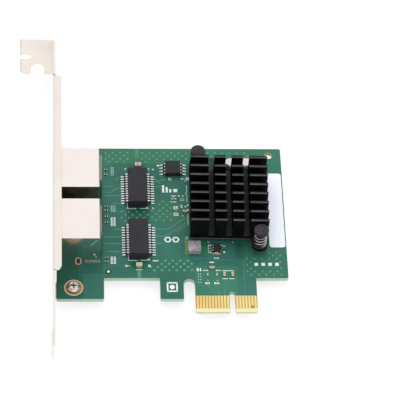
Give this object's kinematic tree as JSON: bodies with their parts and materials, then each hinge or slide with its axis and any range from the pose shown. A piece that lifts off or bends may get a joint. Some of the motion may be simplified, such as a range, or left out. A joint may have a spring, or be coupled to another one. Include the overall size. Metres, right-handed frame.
{
  "type": "network interface card",
  "caption": "Expansion card with modular network jacks behind a full-height bracket, line transformers, a finned heat sink on push pins and a short edge connector.",
  "frame": {"origin": "centre line of the key notch in X, lower edge of the contact tongue in Y, component face of the board in Z", "axes": "+X away from the bracket, +Y from the edge connector towards the bracket's top tab, +Z out of the component face"},
  "size_m": [0.0895, 0.1209, 0.0201],
  "materials": {
    "solder_mask": "glass-fibre laminate under a semi-gloss green solder mask",
    "gold_plate": "gold-plated copper",
    "tinned_plate": "tinned copper",
    "bracket_steel": "nickel-plated sheet steel, satin",
    "screw_steel": "nickel-plated steel",
    "shell_metal": "nickel-plated sheet, bright",
    "jack_plastic": "moulded black plastic",
    "light_plastic": "clear light guide, unlit",
    "case_plastic": "moulded epoxy case",
    "transformer_plastic": "moulded transformer case",
    "thermal_compound": "soft grey thermal pad",
    "sink_aluminium": "black anodised",
    "pin_plastic": "moulded nylon",
    "spring_steel": "bright spring steel",
    "inductor_ferrite": "moulded ferrite",
    "crystal_metal": "nickel-plated can",
    "capacitor_ceramic": "tan ceramic",
    "resistor_ceramic": "black glazed ceramic",
    "label_paper": "blank white label"
  },
  "bodies": {
    "root": {"blank_label": "label_paper", "bracket": "bracket_steel", "bracket_screws": "screw_steel", "capacitor_bodies": "capacitor_ceramic", "capacitor_ends": "tinned_plate", "controller_chip": "case_plastic", "corner_hole_sleeve": "gold_plate", "crystal_base": "case_plastic", "crystal_can": "crystal_metal", "edge_contacts_back": "gold_plate", "edge_contacts_front": "gold_plate", "flash_chip": "case_plastic", "flash_leads": "tinned_plate", "heat_sink": "sink_aluminium", "inductor_terminals": "tinned_plate", "jack_contacts_lower": "gold_plate", "jack_contacts_upper": "gold_plate", "jack_housing_lower": "jack_plastic", "jack_housing_upper": "jack_plastic", "jack_lights_lower": "light_plastic", "jack_lights_upper": "light_plastic", "jack_shell_lower": "shell_metal", "jack_shell_upper": "shell_metal", "leg_pads": "tinned_plate", "magnetics_leads_lower": "tinned_plate", "magnetics_leads_upper": "tinned_plate", "magnetics_lower": "transformer_plastic", "magnetics_upper": "transformer_plastic", "pcb": "solder_mask", "pin_springs": "spring_steel", "power_inductor": "inductor_ferrite", "push_pins": "pin_plastic", "regulator": "case_plastic", "regulator_leads": "tinned_plate", "resistor_bodies": "resistor_ceramic", "resistor_ends": "tinned_plate", "screw_pads": "gold_plate", "thermal_pad": "thermal_compound"}
  },
  "joints": []
}
